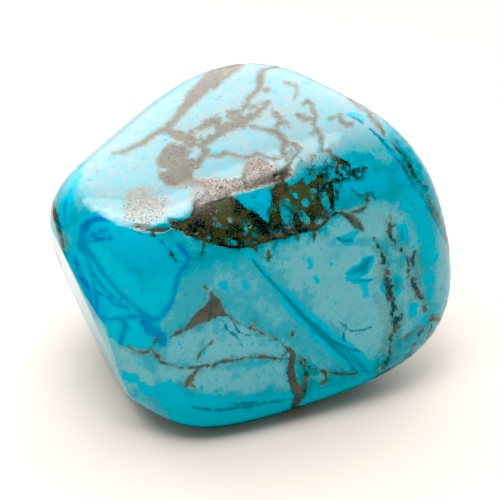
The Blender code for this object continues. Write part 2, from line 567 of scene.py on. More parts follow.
# %% Brown patches
BROWN_PATCHES = {                    # outlines
    "crown lump": [
        (170, 143), (184, 146), (192, 152), (186, 158), (196, 160), (200, 158), (201, 165), (194, 170),
        (191, 176), (196, 180), (180, 186), (168, 186), (158, 178), (160, 168), (156, 162), (163, 150)
    ],
    "speckled band": [
        (196, 179), (212, 181), (232, 181), (243, 178), (246, 165), (249, 158), (262, 158), (269, 163),
        (275, 171), (282, 173), (289, 168), (291, 176), (284, 181), (270, 184), (258, 187), (247, 191),
        (237, 191), (228, 196), (216, 199), (205, 203), (197, 210), (192, 214), (195, 202), (203, 196),
        (208, 190), (203, 184), (190, 184)
    ],
    "lens left": [
        (168, 219), (177, 222), (186, 219), (191, 216), (193, 210), (199, 205), (208, 202), (219, 199),
        (230, 195), (237, 200), (243, 205), (250, 210), (257, 213), (262, 219), (268, 223), (271, 212),
        (272, 200), (271, 190), (276, 183), (284, 180), (289, 186), (299, 181), (308, 175), (321, 174),
        (331, 178), (334, 188), (334, 205), (333, 216), (327, 223), (320, 229), (313, 231), (304, 232),
        (296, 234), (286, 238), (275, 241), (262, 244), (252, 248), (240, 249), (226, 248), (212, 244),
        (200, 240), (190, 236), (180, 231), (170, 228)
    ],
    "triangle": [
        (211, 292), (219, 299), (224, 308), (227, 316), (218, 316), (209, 320), (200, 324), (192, 325),
        (186, 329), (191, 320), (197, 312), (204, 307), (209, 301)
    ],
}
print("brown patches:", len(BROWN_PATCHES))

# %% [markdown]
# Inside the brown some pieces of turquoise were never broken. They are drawn in the same two
# ways and then taken out of the brown, which is simpler than drawing the brown round each.

# %% Turquoise left inside the brown
BLUE_ISLANDS = {                     # paths
    "tall": [(286, 205, 6), (287, 213, 6.2), (288, 224, 4.5)],
    "round": [(306, 203, 4)],
    "leaning": [(302, 214, 2.6), (306, 220, 3.6)],
    "low": [(319, 221, 3.4)],
    "right slit": [(323, 195, 3.6), (327, 205, 3.6), (328, 212, 2.6)],
    "shard piece": [(291, 192, 1.5), (296, 197, 2.6)],
    "upper": [(307, 180, 3.6), (313, 177, 2.6)],
    "upper right": [(313, 191, 2.8), (319, 193, 2)],
    "dot 1": [(230, 219, 2.4), (231, 221, 2.6)],
    "dot 2": [(216, 225, 2.6), (219, 225, 2)],
    "smile": [(227, 240, 2), (231, 242, 2.4), (235, 243, 2)],
    "dot 3": [(245, 232, 2.6), (247, 227, 1.6)],
    "low chip": [(277, 232, 2.4), (281, 232, 1.8)],
    "dot 4": [(209, 238, 1.6)],
    "crown island 1": [(208, 132, 3), (213, 131, 3.4)],
    "crown island 2": [(227, 119, 2.4), (229, 122, 1.8)],
    "crown island 3": [(192, 155, 3.2), (195, 156, 2.4)],
    "crown island 4": [(196, 131, 1.8), (199, 143, 1.6)],
    "crown island 5": [(165, 170, 2), (155, 172, 2.6)],
    "loop": [(397, 316, 1)],
}
BLUE_SHARDS = {                      # outlines
    "heart": [
        (235, 193), (243, 193), (251, 193), (257, 188), (265, 187), (271, 191), (270, 204), (270, 215),
        (266, 222), (261, 216), (255, 213), (249, 210), (243, 205), (238, 199)
    ],
    "pale block left": [
        (166, 196), (172, 188), (182, 185), (191, 186), (195, 193), (196, 201), (190, 213), (184, 219),
        (172, 219), (165, 213)
    ],
    "pale block right": [(196, 185), (204, 185), (207, 191), (201, 197), (196, 201), (192, 191)],
}
print("pieces of turquoise in the brown:", len(BLUE_ISLANDS) + len(BLUE_SHARDS))

# %% All the brown
brown = np.full(len(points), FAR)
for veins in (CROWN_VEINS, BROW_VEINS, RIGHT_VEINS, FRONT_VEINS, LENS_SPIKES):
    brown = np.minimum(brown, nearest(veins.values()))
brown = np.minimum(brown, nearest(outlines=BROWN_PATCHES.values()))
blue_left = nearest(BLUE_ISLANDS.values(), BLUE_SHARDS.values())
brown = np.maximum(brown, -blue_left)
print("points under solid brown:", int((brown < 0).sum()))

# %% [markdown]
# Besides the solid brown there are zones where the rock is only a net of threads between blue
# crumbs, zones where it is scattered as tan specks, and zones where it only stains the blue.
# They are drawn as outlines only, because the material makes the threads, specks and stains.

# %% Broken, speckled and stained zones
BROKEN_ZONES = {
    "lens": [
        (196, 214), (228, 200), (262, 222), (276, 186), (300, 180), (330, 178), (336, 212), (312, 230),
        (262, 242), (222, 244), (196, 232)
    ],
    "right of lens": [
        (312, 152), (330, 156), (352, 164), (366, 170), (360, 180), (346, 184), (338, 200), (330, 190),
        (318, 176), (304, 170)
    ],
}
# these zones lie under the softbox's highlight, and the bright tan they get is partly painted highlight
SPECKLED_ZONES = {
    "under crown": [
        (190, 178), (214, 179), (240, 179), (245, 160), (262, 155), (280, 166), (293, 164), (296, 177),
        (270, 187), (246, 193), (226, 199), (206, 206), (192, 214), (190, 190), (172, 186)
    ],
    "left of brow": [
        (128, 190), (142, 186), (158, 186), (168, 196), (166, 214), (152, 222), (150, 230), (138, 230),
        (126, 222), (122, 206)
    ],
    "lens top": [(196, 206), (226, 196), (240, 206), (232, 224), (200, 224)],
}
STAINED_ZONES = {
    "crown": [
        (168, 130), (180, 118), (204, 112), (226, 104), (246, 96), (268, 100), (286, 108), (316, 114),
        (312, 126), (288, 128), (270, 118), (240, 132), (214, 142), (204, 154), (182, 150), (168, 140)
    ],
    "right of fragment": [
        (284, 134), (300, 140), (312, 160), (330, 168), (310, 178), (294, 166), (284, 152)
    ],
    "right": [
        (382, 218), (396, 220), (400, 240), (412, 246), (422, 262), (426, 290), (428, 312), (416, 304),
        (406, 284), (400, 260), (388, 240)
    ],
    "right low": [
        (374, 232), (388, 256), (396, 290), (404, 314), (402, 340), (394, 368), (380, 374), (382, 330),
        (380, 280)
    ],
    "foot": [(372, 374), (396, 362), (412, 350), (430, 322), (416, 352), (402, 368), (380, 380)],
    "low knot": [(298, 356), (308, 362), (316, 374), (313, 390), (303, 402), (301, 380)],
}
for name, zones in (("broken", BROKEN_ZONES), ("speckled", SPECKLED_ZONES), ("stained", STAINED_ZONES)):
    store(name, nearest(outlines=zones.values()))

# %% [markdown]
# The turquoise itself runs from milky to a strong blue. Noise in the material gives it its
# small clouds, but noise would put the large zones anywhere, so those are drawn. The strong blue
# lies in soft-edged zones and in strokes along old cracks, and the milky blue in wide zones.
# The pale zone of the crown ends where the highlight ends. It is partly the stone's milky
# colour and partly painted sheen. The pale zone low on the left is a painted reflection of the
# bright table along the rim.

# %% Strong blue zones
STRONG_ZONES = {                     # strength, width of the soft edge in mm, outline
    "left cell": (0.8, 0.8, [
        (72, 226), (84, 214), (100, 213), (112, 222), (128, 229), (150, 234), (166, 240), (178, 244),
        (187, 254), (190, 264), (182, 277), (175, 296), (168, 312), (160, 322), (160, 346), (140, 350),
        (122, 345), (110, 335), (97, 315), (88, 300), (78, 285), (70, 262), (66, 240)
    ]),
    "left ring": (1.1, 1.0, [
        (80, 216), (96, 216), (92, 228), (91, 244), (96, 258), (92, 264), (84, 262), (76, 250), (76, 230)
    ]),
    "right of brow": (0.75, 1.8, [
        (340, 164), (352, 158), (365, 162), (378, 170), (388, 180), (388, 190), (372, 194), (362, 194),
        (350, 190), (336, 190), (334, 178)
    ]),
    "right rim": (0.75, 1.8, [
        (400, 164), (412, 176), (424, 192), (436, 218), (440, 250), (436, 290), (428, 306), (422, 280),
        (420, 240), (408, 205), (396, 180)
    ]),
    "bottom": (0.75, 0.9, [
        (150, 388), (170, 380), (190, 392), (215, 397), (240, 398), (262, 394), (285, 394), (300, 388),
        (330, 386), (385, 374), (360, 396), (300, 412), (210, 432), (172, 424)
    ]),
    "shard": (0.9, 0.3, BLUE_SHARDS["heart"]),
    "patch 1": (1.1, 0.35, [
        (336, 238), (344, 235), (352, 232), (357, 233), (354, 240), (352, 247), (344, 246)
    ]),
    "patch 2": (1.15, 0.35, [
        (345, 273), (353, 268), (360, 263), (363, 257), (374, 255), (372, 264), (368, 273), (358, 279),
        (349, 277)
    ]),
    "patch 3": (1.1, 1.0, [(361, 280), (368, 280), (370, 296), (363, 297)]),
    "right foot": (0.55, 0.9, [(398, 344), (418, 318), (440, 300), (432, 326), (412, 352), (396, 362)]),
}
print("strong blue zones:", len(STRONG_ZONES))

# %% Strong blue strokes
STRONG_STROKES = {                   # strength, path
    "left shoulder": (1.5, [(81, 166, 0.5), (76, 177, 2), (71, 189, 3), (66, 201, 3), (63, 210, 1)]),
    "left shoulder foot": (1.1, [(66, 202, 4), (64, 213, 4), (68, 228, 6)]),
    "crown right": (1.3, [(347, 115, 1), (355, 117, 1.6), (362, 121, 2)]),
    "rim": (1.1, [
        (370, 128, 0.5), (378, 135, 1), (386, 145, 1), (394, 156, 1), (401, 164, 1.6), (406, 171, 1.4),
        (410, 180, 1), (416, 189, 1.6), (423, 197, 1.6), (429, 207, 1.4), (434, 216, 1.8),
        (438, 224, 1.4), (442, 232, 1.4), (446, 241, 1)
    ]),
    "long streak": (1.2, [
        (255, 262, 1), (262, 270, 2), (270, 280, 3), (279, 290, 4), (289, 300, 6), (299, 312, 7),
        (309, 322, 8), (319, 331, 8), (329, 340, 8), (340, 349, 9), (351, 357, 8), (362, 366, 7),
        (368, 373, 6)
    ]),
    "streak tip": (1.4, [(248, 254, 0.8), (258, 265, 1), (266, 276, 1)]),
    "streak spot": (1.5, [(343, 353, 2), (346, 360, 2.2)]),
    "streak end": (1.6, [(370, 364, 1.8), (372, 367, 1.8)]),
    "shelf 1": (1.0, [(345, 278, 1.2), (364, 281, 1.5), (380, 277, 1.2)]),
    "shelf 2": (1.0, [(366, 295, 1.2), (381, 298, 1.5)]),
    "spot 1": (1.4, [(402, 230, 3), (403, 240, 4)]),
    "spot 2": (1.1, [(400, 177, 3), (406, 182, 4)]),
    "spot 3": (1.1, [(405, 205, 3), (415, 212, 3)]),
    "spot 4": (0.8, [(424, 236, 3), (431, 252, 3)]),
    "spot 5": (1.6, [(397, 280, 4), (396, 288, 4)]),
    "spot 6": (1.5, [(385, 282, 4), (384, 288, 3)]),
    "spot 7": (1.3, [(412, 306, 2), (412, 314, 3)]),
    "spot 8": (1.2, [(409, 339, 3), (416, 331, 2)]),
    "spot 9": (1.1, [(403, 258, 2), (400, 266, 2)]),
    "speck 1": (1.2, [(316, 278, 2), (317, 281, 2)]),
    "speck 2": (1.0, [(310, 263, 1.4), (310, 267, 1.4)]),
    "speck 3": (1.0, [(329, 261, 1.4), (331, 264, 1.4)]),
    "speck 4": (1.0, [(234, 257, 1.2), (235, 267, 1.4)]),
    "speck 5": (1.0, [(245, 283, 1.4), (246, 287, 1.4)]),
    "speck 6": (0.9, [(223, 285, 1.2), (225, 288, 1.2)]),
    "speck 7": (1.0, [(207, 248, 2.4), (210, 252, 2.4)]),
    "foot mottle 1": (1.0, [(124, 372, 3), (134, 378, 4)]),
    "foot mottle 2": (1.1, [(140, 386, 2), (152, 392, 3)]),
    "foot mottle 3": (0.8, [(136, 362, 2), (146, 366, 2)]),
    "beside hair": (0.6, [(205, 345, 3), (200, 355, 3)]),
    "under front thread": (0.5, [(250, 334, 2), (270, 342, 2)]),
}
print("strong blue strokes:", len(STRONG_STROKES))

# %% Pale zones
PALE_AND_SHEEN_ZONES = {                       # strength, width of the soft edge in mm, outline
    # partly painted sheen: the crown is made paler down to the lower edge of the highlight
    "crown": (1.0, 1.6, [
        (60, 150), (240, 50), (380, 100), (384, 140), (376, 152), (350, 148), (330, 158), (300, 168),
        (262, 178), (225, 193), (187, 212), (150, 226), (120, 214), (95, 210), (84, 190)
    ]),
    "right front": (0.5, 2.6, [
        (276, 262), (300, 244), (340, 240), (376, 244), (392, 280), (400, 310), (388, 350), (368, 352),
        (345, 336), (312, 306)
    ]),
    "under brow": (0.55, 1.2, [
        (330, 236), (338, 214), (352, 204), (372, 200), (392, 206), (402, 228), (392, 240), (360, 240)
    ]),
    "right third": (0.35, 1.8, [(396, 222), (412, 240), (426, 290), (420, 326), (404, 336), (396, 290)]),
    "front": (0.35, 1.6, [
        (176, 338), (206, 324), (232, 318), (262, 336), (286, 352), (250, 358), (200, 362), (162, 358)
    ]),
    "low front": (0.5, 1.0, [
        (150, 362), (200, 372), (285, 364), (284, 384), (250, 392), (196, 386), (160, 380)
    ]),
    # painted reflection: the lower left rim is made pale as if it mirrored the bright table
    "low left": (0.8, 2.2, [
        (100, 318), (116, 344), (130, 356), (150, 372), (150, 384), (128, 384), (108, 350)
    ]),
    "right top": (0.6, 1.6, [(384, 136), (396, 150), (392, 166), (376, 158)]),
    "right edge": (0.8, 1.2, [(440, 206), (452, 250), (450, 280), (438, 300), (436, 260)]),
    "cell chip": (0.7, 0.4, [(93, 240), (101, 242), (103, 250), (97, 253)]),
}
print("pale zones:", len(PALE_AND_SHEEN_ZONES))

# %% Strength and paleness at every point
STROKE_EDGE = 1.2                    # width over which a stroke fades, mm


def fade(distance, width):
    """1 well inside a marking, 0 well outside it."""
    t = np.clip(0.5 - distance / width, 0, 1)
    return t * t * (3 - 2 * t)


strong = np.zeros(len(points))
for strength, edge, outline in STRONG_ZONES.values():
    strong = np.maximum(strong, strength * fade(outline_distance(outline), edge))
for strength, path in STRONG_STROKES.values():
    strong = np.maximum(strong, strength * fade(path_distance(path), STROKE_EDGE))
# pale is the stone's milky paleness together with painted sheen on the crown and a painted reflection on
# the lower left rim
pale = np.zeros(len(points))
for strength, edge, outline in PALE_AND_SHEEN_ZONES.values():
    pale = np.maximum(pale, strength * fade(outline_distance(outline), edge))
print("strongest and palest:", strong.max().round(2), pale.max().round(2))

# %% [markdown]
# Narrow dark blue seams run through the strong blue, and hair-thin teal lines go with it. Both
# are cracks that filled late. They are drawn as paths, like the brown veins.

# %% Dark blue seams
BLUE_SEAMS = {
    "left main": [
        (107, 219, 1.2), (98, 219, 2.2), (90, 222, 2.6), (84, 229, 2.6), (81, 237, 2.6), (82, 245, 4.5),
        (85, 251, 3.5), (91, 254, 2.2), (95, 260, 1.6), (99, 268, 1.5), (105, 276, 1.4), (112, 284, 1.5),
        (118, 291, 1.6), (124, 297, 1.5), (131, 303, 1.4), (138, 309, 1.5), (145, 315, 1.8),
        (152, 319, 2.4), (158, 318, 2), (163, 313, 1.4), (169, 306, 1.2), (173, 297, 1.2),
        (175, 287, 1.2), (178, 277, 1.2), (182, 270, 1.8), (187, 264, 1.8), (189, 258, 1.2),
        (184, 251, 1.2), (179, 245, 1)
    ],
    "left outer": [(88, 262, 1), (92, 272, 0.9), (94, 285, 1), (95, 296, 1), (97, 306, 0.8)],
    "left cross": [
        (92, 286, 0.8), (98, 293, 1), (107, 297, 1), (113, 303, 1.2), (122, 306, 1), (130, 310, 0.8)
    ],
    "left edge": [
        (75, 260, 0.8), (80, 276, 1), (89, 290, 1.2), (92, 304, 1.2), (95, 312, 1.6), (101, 318, 1.2),
        (113, 319, 1), (134, 317, 1), (150, 318, 1.2)
    ],
    "left inner": [(86, 262, 0.7), (95, 276, 0.7), (104, 288, 0.8), (116, 299, 0.7), (128, 308, 0.8)],
    "left fan": [(88, 238, 0.8), (97, 233, 0.9), (107, 230, 0.7)],
    "left foot": [(123, 318, 2), (125, 328, 2.4), (122, 337, 2.2), (121, 343, 1.4)],
    "right foot of cell": [(144, 320, 3), (150, 329, 5), (158, 334, 5), (163, 341, 4)],
    "left branch": [(89, 242, 0.9), (100, 239, 1), (110, 238, 0.8)],
    "beside fork": [(96, 213, 0.6), (106, 215, 0.8)],
}
store("seams", nearest(BLUE_SEAMS.values()))

# %% Teal lines
TEAL_LINES = {
    "bottom": [
        (192, 407, 0.3), (206, 409, 0.7), (220, 410, 1), (236, 408, 1.1), (250, 406, 0.6),
        (266, 403, 0.5), (286, 400, 0.3)
    ],
    "bottom upper": [(228, 403, 0.3), (238, 404, 0.9), (248, 403, 0.8), (258, 402, 0.3)],
    "streak edge": [
        (252, 259, 0.4), (266, 276, 0.8), (282, 293, 0.9), (298, 311, 0.8), (310, 324, 0.6),
        (322, 336, 0.5), (336, 348, 0.4)
    ],
    "streak back": [(306, 318, 0.4), (320, 330, 0.5), (334, 342, 0.7), (348, 348, 0.6), (360, 352, 0.4)],
    "streak foot": [(330, 345, 0.4), (342, 354, 0.6), (352, 366, 0.5), (360, 374, 0.4)],
    "low curve": [(338, 321, 0.3), (345, 326, 0.5), (352, 331, 0.6), (362, 330, 0.5), (372, 327, 0.3)],
    "low curve twig": [(347, 327, 0.3), (343, 335, 0.4), (345, 342, 0.3)],
    "patch 1": [(337, 238, 0.4), (344, 241, 0.8), (351, 240, 0.5)],
    "patch 2": [(356, 272, 0.4), (364, 266, 1), (371, 258, 0.5)],
    "shelf": [(349, 280, 0.3), (360, 281, 0.5), (372, 280, 0.3)],
    "hair 1": [(222, 320, 0.2), (228, 330, 0.4), (236, 336, 0.5), (242, 346, 0.3)],
    "hair 2": [(233, 322, 0.3), (240, 332, 0.5), (250, 336, 0.3)],
    "crown right": [(352, 117, 0.3), (358, 120, 0.7), (362, 123, 0.4)],
    "rim": [
        (370, 129, 0.3), (380, 138, 0.7), (390, 150, 0.6), (398, 160, 0.8), (407, 173, 0.9),
        (413, 185, 0.5), (422, 196, 0.7), (430, 209, 0.9), (437, 222, 0.6), (445, 240, 0.3)
    ],
    "right of brow": [(352, 190, 0.4), (361, 196, 0.7), (370, 192, 0.5), (376, 200, 0.4)],
}
store("teal lines", nearest(TEAL_LINES.values()))

# %% [markdown]
# The far side and the underside carry the same kinds of veins. Their paths are given by
# direction from the middle of the stone, as azimuth and elevation in degrees, with the half
# width in mm. Azimuth 0 faces the camera and grows towards the right end. Several of them pick
# up a vein of the front where it leaves the picture.

# %% Veins of the far side
FAR_VEINS = {
    "crown main on": [
        (-166, 56, 0.4), (-168, 46, 0.6), (-160, 36, 0.5), (-163, 26, 0.8), (-155, 16, 0.5),
        (-157, 6, 0.35), (-150, -4, 0.4), (-152, -16, 0.6), (-145, -28, 0.3)
    ],
    "crown fork on": [(-171, 60, 0.25), (178, 50, 0.3), (170, 42, 0.2), (168, 33, 0.4), (175, 24, 0.3)],
    "crown right on": [
        (169, 64, 0.2), (158, 56, 0.3), (152, 47, 0.5), (143, 40, 0.35), (138, 31, 0.6), (141, 22, 0.4),
        (134, 13, 0.25)
    ],
    "behind bar": [
        (-163, 26, 0.5), (-172, 22, 0.4), (178, 17, 0.7), (168, 14, 0.9), (160, 8, 0.6), (150, 6, 0.3),
        (141, 8, 0.4), (134, 13, 0.4)
    ],
    "behind low": [
        (168, 14, 0.5), (170, 4, 0.4), (164, -6, 0.6), (168, -16, 0.8), (160, -25, 0.5), (163, -36, 0.3)
    ],
    "behind low left": [
        (-152, -16, 0.4), (-162, -22, 0.3), (-172, -20, 0.5), (176, -24, 0.3), (168, -16, 0.5)
    ],
    "right end up": [
        (107, 57, 0.15), (114, 49, 0.3), (112, 40, 0.5), (119, 32, 0.3), (116, 22, 0.5), (122, 13, 0.7),
        (118, 4, 0.4), (124, -5, 0.3), (120, -15, 0.5), (127, -26, 0.3)
    ],
    "right end low": [(85, 3, 0.15), (93, -2, 0.25), (101, -8, 0.2), (108, -6, 0.3), (118, 2, 0.3)],
    "right end foot": [(74, -15, 0.15), (84, -20, 0.3), (94, -28, 0.4), (103, -38, 0.3), (110, -50, 0.2)],
    "left back": [
        (-102, 40, 0.2), (-110, 33, 0.3), (-108, 24, 0.5), (-117, 17, 0.6), (-114, 8, 0.3),
        (-122, 0, 0.5), (-119, -10, 0.3), (-128, -20, 0.4)
    ],
    "left end": [
        (-84, 33, 0.2), (-92, 25, 0.25), (-90, 14, 0.4), (-97, 6, 0.3), (-94, -5, 0.5), (-101, -14, 0.3),
        (-98, -25, 0.2)
    ],
    "left join": [(-97, 6, 0.3), (-106, 4, 0.2), (-114, 8, 0.3)],
    "left back join": [
        (-117, 17, 0.4), (-128, 20, 0.3), (-137, 27, 0.5), (-147, 30, 0.3), (-160, 36, 0.4)
    ],
    "under 1": [
        (-45, -38, 0.2), (-40, -50, 0.35), (-60, -62, 0.5), (-90, -70, 0.3), (-130, -66, 0.4),
        (-150, -52, 0.3), (-145, -38, 0.2)
    ],
    "under 2": [
        (24, -48, 0.3), (30, -60, 0.4), (70, -70, 0.3), (120, -66, 0.5), (150, -54, 0.3), (163, -40, 0.3)
    ],
}
print("veins of the far side:", len(FAR_VEINS))

# %% Patches of the far side
FAR_PATCHES = {                      # wide strokes that overlap into broken brown rock
    "back lens": [(174, 12, 0.8), (166, 9, 1.6), (158, 10, 1.3), (152, 5, 0.8)],
    "back left lump": [(-160, 28, 0.8), (-156, 22, 1.3), (-158, 14, 0.9)],
    "right lump": [(118, 16, 0.8), (122, 10, 1.1)],
    "left lump": [(-115, 22, 0.7), (-112, 14, 0.9)],
}
FAR_STRONG = {                       # wide strokes of strong blue
    "back left": [(-140, 12, 2.6), (-136, 0, 3.4), (-142, -14, 2.2)],
    "back right": [(150, 30, 2.0), (146, 20, 1.6)],
    "back low": [(178, -8, 2.2), (176, -18, 1.8)],
    "right end": [(100, 14, 1.8), (98, 4, 2.2)],
    "back top": [(-176, 40, 1.5), (176, 30, 1.8)],
    "left end": [(-86, 2, 1.6), (-88, -10, 1.8)],
    "under": [(0, -70, 2.5), (90, -84, 3.0), (180, -72, 2.0)],
}
print("patches of the far side:", len(FAR_PATCHES) + len(FAR_STRONG))

# %% Lay the far side's paths on the skin
OUTSIDE = 60.0                       # how far out a path is thrown at the stone from
FAR_STRENGTH, FAR_EDGE = 0.8, 2.4    # strength of the strong blue and the width of its edge
TURN_FROM, TURN_OVER = -0.05, 0.15   # facing where the far side ends, and how softly


def lay_by_direction(path):
    """Rows of x, y, z and half width in mm, for a path given by azimuth and elevation."""
    laid = []
    for (az, el, half), (next_az, next_el, next_half) in zip(path, path[1:] + path[-1:]):
        turn = (next_az - az + 180) % 360 - 180
        for t in (0, 0.25, 0.5, 0.75):
            a, e = math.radians(az + turn * t), math.radians(el + (next_el - el) * t)
            out = Vector((math.sin(a) * math.cos(e), -math.cos(a) * math.cos(e), math.sin(e)))
            hit = tree.ray_cast(MIDDLE + out * OUTSIDE, -out)[0]
            laid.append([*hit, half + (next_half - half) * t])
    return np.array(laid)


for path in [*FAR_VEINS.values(), *FAR_PATCHES.values()]:
    brown = np.minimum(brown, capsule_distance(lay_by_direction(path), points))
for path in FAR_STRONG.values():
    blue_gap = capsule_distance(lay_by_direction(path), points)
    strong = np.maximum(strong, FAR_STRENGTH * fade(blue_gap, FAR_EDGE))
far_side = 1 - np.clip((facings - TURN_FROM) / TURN_OVER, 0, 1)
for name, values in (("brown", brown), ("strong", strong), ("pale", pale), ("far side", far_side)):
    store(name, values)

# %% [markdown]
# Tumbling leaves small scars: a few pits where a crumb fell out and little nicks on the ridges.
# A bump in the material could fake them, but it leaves the outline as it is, so they are real
# dents in the skin. The brown rock is a little softer than the turquoise, and the polish leaves
# it slightly lower.

# %% Pits and nicks
PITS = {                             # x, y and radius in picture units, depth in mm
    "white pit": (142, 322, 3.0, 0.25),
    "shoulder dot": (89, 181, 2.5, 0.15),
    "brow pit 1": (196, 168, 2.5, 0.15),
    "brow pit 2": (174, 172, 2.0, 0.12),
    "brow pit 3": (222, 188, 2.0, 0.12),
    "brow pit 4": (276, 176, 2.0, 0.12),
    "lens pit 1": (249, 226, 3.5, 0.2),
    "lens pit 2": (296, 213, 3.0, 0.15),
    "lens pit 3": (196, 232, 3.0, 0.15),
}
UNDERCUT, UNDERCUT_EDGE = 0.035, 0.5     # how much lower the rock lies, and over what width

sunk = UNDERCUT * fade(brown, UNDERCUT_EDGE)
for x, y, radius, depth in PITS.values():
    hit = tree.ray_cast(eye, sight_line(x, y))[0]
    gap = np.linalg.norm(points - np.array(hit), axis=1) * UNITS_PER_MM / radius
    sunk += depth * np.clip(1 - gap ** 2, 0, 1) ** 2
above_table = np.clip(points[:, 2], 0, 1)
points -= normals * (sunk * above_table)[:, None]
set_points(points)
print("deepest dent, mm:", sunk.max().round(3))

# %% [markdown]
# The finish is one material. Small helpers keep its nodes readable: each makes one node, feeds
# it with numbers or other nodes, and hands back its output. All patterns read Object
# coordinates, so they stay in the stone.

# %% Material tools
polish = bpy.data.materials.new("polished turquoise")
polish.use_nodes = True
nodes, links = polish.node_tree.nodes, polish.node_tree.links
shader = nodes["Principled BSDF"]
place_in_stone = nodes.new("ShaderNodeTexCoord").outputs["Object"]


def feed(socket, value):
    if isinstance(value, bpy.types.NodeSocket):
        links.new(value, socket)
    else:
        socket.default_value = value


def calc(operation, a, b=0.0):
    node = nodes.new("ShaderNodeMath")
    node.operation = operation
    feed(node.inputs[0], a)
    feed(node.inputs[1], b)
    return node.outputs[0]


def ramp(value, start, end, low=0.0, high=1.0):
    """Eases from low to high while the value goes from start to end."""
    node = nodes.new("ShaderNodeMapRange")
    node.interpolation_type = "SMOOTHSTEP"
    for socket, number in zip(node.inputs, (value, start, end, low, high)):
        feed(socket, number)
    return node.outputs[0]


def mix(amount, first, second):
    """A colour between first and second."""
    node = nodes.new("ShaderNodeMix")
    node.data_type = "RGBA"
    feed(node.inputs["Factor"], amount)
    for name, colour in (("A", first), ("B", second)):
        socket = [s for s in node.inputs if s.name == name and s.type == "RGBA"][0]
        feed(socket, (*colour, 1.0) if isinstance(colour, tuple) else colour)
    return [s for s in node.outputs if s.type == "RGBA"][0]


def mottle(size, detail=3.0, roughness=0.5, shift=0.0, upright=1.0):
    """Cloudy variation around 0, with lumps about size mm wide and upright times as tall."""
    node = nodes.new("ShaderNodeTexNoise")
    moved = nodes.new("ShaderNodeVectorMath")
    moved.operation = "MULTIPLY_ADD"
    moved.inputs[1].default_value = (1, 1, 1 / upright)
    moved.inputs[2].default_value = (shift, shift, -shift)
    links.new(place_in_stone, moved.inputs[0])
    links.new(moved.outputs[0], node.inputs["Vector"])
    feed(node.inputs["Scale"], 1 / (size * MM))
    feed(node.inputs["Detail"], detail)
    feed(node.inputs["Roughness"], roughness)
    return calc("SUBTRACT", node.outputs["Fac"], 0.5)


CRACK_BENDS, CRACK_WANDER = 1.2, 0.45    # bends in each length of size, and their reach in sizes


def cracks(size, shift=0.0):
    """Distance in mm to the nearest of many wandering cracks, about size mm apart."""
    wander = nodes.new("ShaderNodeTexNoise")
    links.new(place_in_stone, wander.inputs["Vector"])
    feed(wander.inputs["Scale"], CRACK_BENDS / (size * MM))
    feed(wander.inputs["Detail"], 2.0)
    bend = nodes.new("ShaderNodeVectorMath")
    bend.operation = "MULTIPLY_ADD"
    links.new(wander.outputs["Color"], bend.inputs[0])
    bend.inputs[1].default_value = (CRACK_WANDER * size * MM,) * 3
    links.new(place_in_stone, bend.inputs[2])
    moved = nodes.new("ShaderNodeVectorMath")
    moved.operation = "ADD"
    moved.inputs[1].default_value = (shift, -shift, shift)
    links.new(bend.outputs[0], moved.inputs[0])
    node = nodes.new("ShaderNodeTexVoronoi")
    node.feature = "DISTANCE_TO_EDGE"
    links.new(moved.outputs[0], node.inputs["Vector"])
    feed(node.inputs["Scale"], 1 / (size * MM))
    return scaled(node.outputs["Distance"], size)


def mark(name):
    node = nodes.new("ShaderNodeAttribute")
    node.attribute_name = name
    return node.outputs["Fac"]


def total(*values):
    result = values[0]
    for value in values[1:]:
        result = calc("ADD", result, value)
    return result


def scaled(value, factor):
    return calc("MULTIPLY", value, factor)


print("nodes in the new material:", len(nodes))

# %% [markdown]
# The colours are mixed in steps. A ramp follows one pattern or marking, and its first two
# numbers say where the next colour starts and where it has taken over. The turquoise goes from
# clear to milky and chalky, then towards the strong blue, then to the dark lines and seams. On
# the crown the chalky blue is partly painted sheen. Low on the left it is partly a painted
# reflection of the table.

# %% Turquoise colours
CLEAR = (0.068, 0.360, 0.457)
MILKY = (0.180, 0.460, 0.520)
# partly the stone's own chalky blue, partly painted sheen on the crown and a painted reflection on the
# lower left rim
CHALKY_AND_SHEEN = (0.310, 0.430, 0.460)
STRONG = (0.000, 0.440, 0.610)
TEAL = (0.000, 0.250, 0.370)
SHADE = (0.000, 0.130, 0.200)
DEEP = (0.000, 0.190, 0.445)
SMOKY = (0.030, 0.160, 0.150)

cloud, grain, dust = mottle(2.6, 4, 0.55), mottle(0.9, 4, 0.6, 0.011), mottle(0.26, 3, 0.6, 0.023)
uneven = total(scaled(cloud, 1.7), scaled(grain, 1.3), scaled(dust, 0.5))
chalk = scaled(mottle(1.1, 5, 0.65, 0.037), 1.4)
# the pale mark carries painted sheen and a painted reflection along with the stone's own paleness
is_pale_and_sheen, is_strong = mark("pale"), mark("strong")
turquoise = mix(ramp(total(is_pale_and_sheen, uneven), -0.1, 0.5), CLEAR, MILKY)
turquoise = mix(ramp(total(is_pale_and_sheen, chalk), 0.7, 1.3), turquoise, CHALKY_AND_SHEEN)
turquoise = mix(ramp(total(is_strong, uneven), 0.25, 0.70), turquoise, STRONG)
flecks = ramp(total(mottle(0.38, 4, 0.7, 0.131), scaled(cloud, 0.5)), 0.12, 0.24, 0.0, 0.6)
turquoise = mix(flecks, turquoise, STRONG)
shade = ramp(total(scaled(grain, 0.7), mottle(0.45, 5, 0.75, 0.163)), 0.08, 0.26, 0.0, 0.6)
shade = scaled(shade, ramp(is_strong, 0.5, 0.9, 1.0, 0.3))
turquoise = mix(shade, turquoise, TEAL)
deeper = total(is_strong, scaled(grain, 1.4), scaled(dust, 0.7))
turquoise = mix(ramp(deeper, 0.90, 1.25), turquoise, TEAL)
line_gap = total(mark("teal lines"), scaled(grain, 0.4), scaled(dust, 0.3))
turquoise = mix(ramp(line_gap, 0.14, -0.06, 0.0, 0.9), turquoise, SHADE)
seam_gap = total(mark("seams"), scaled(grain, 0.8), scaled(dust, 0.5))
turquoise = mix(ramp(seam_gap, 0.40, -0.05, 0.0, 0.5), turquoise, DEEP)
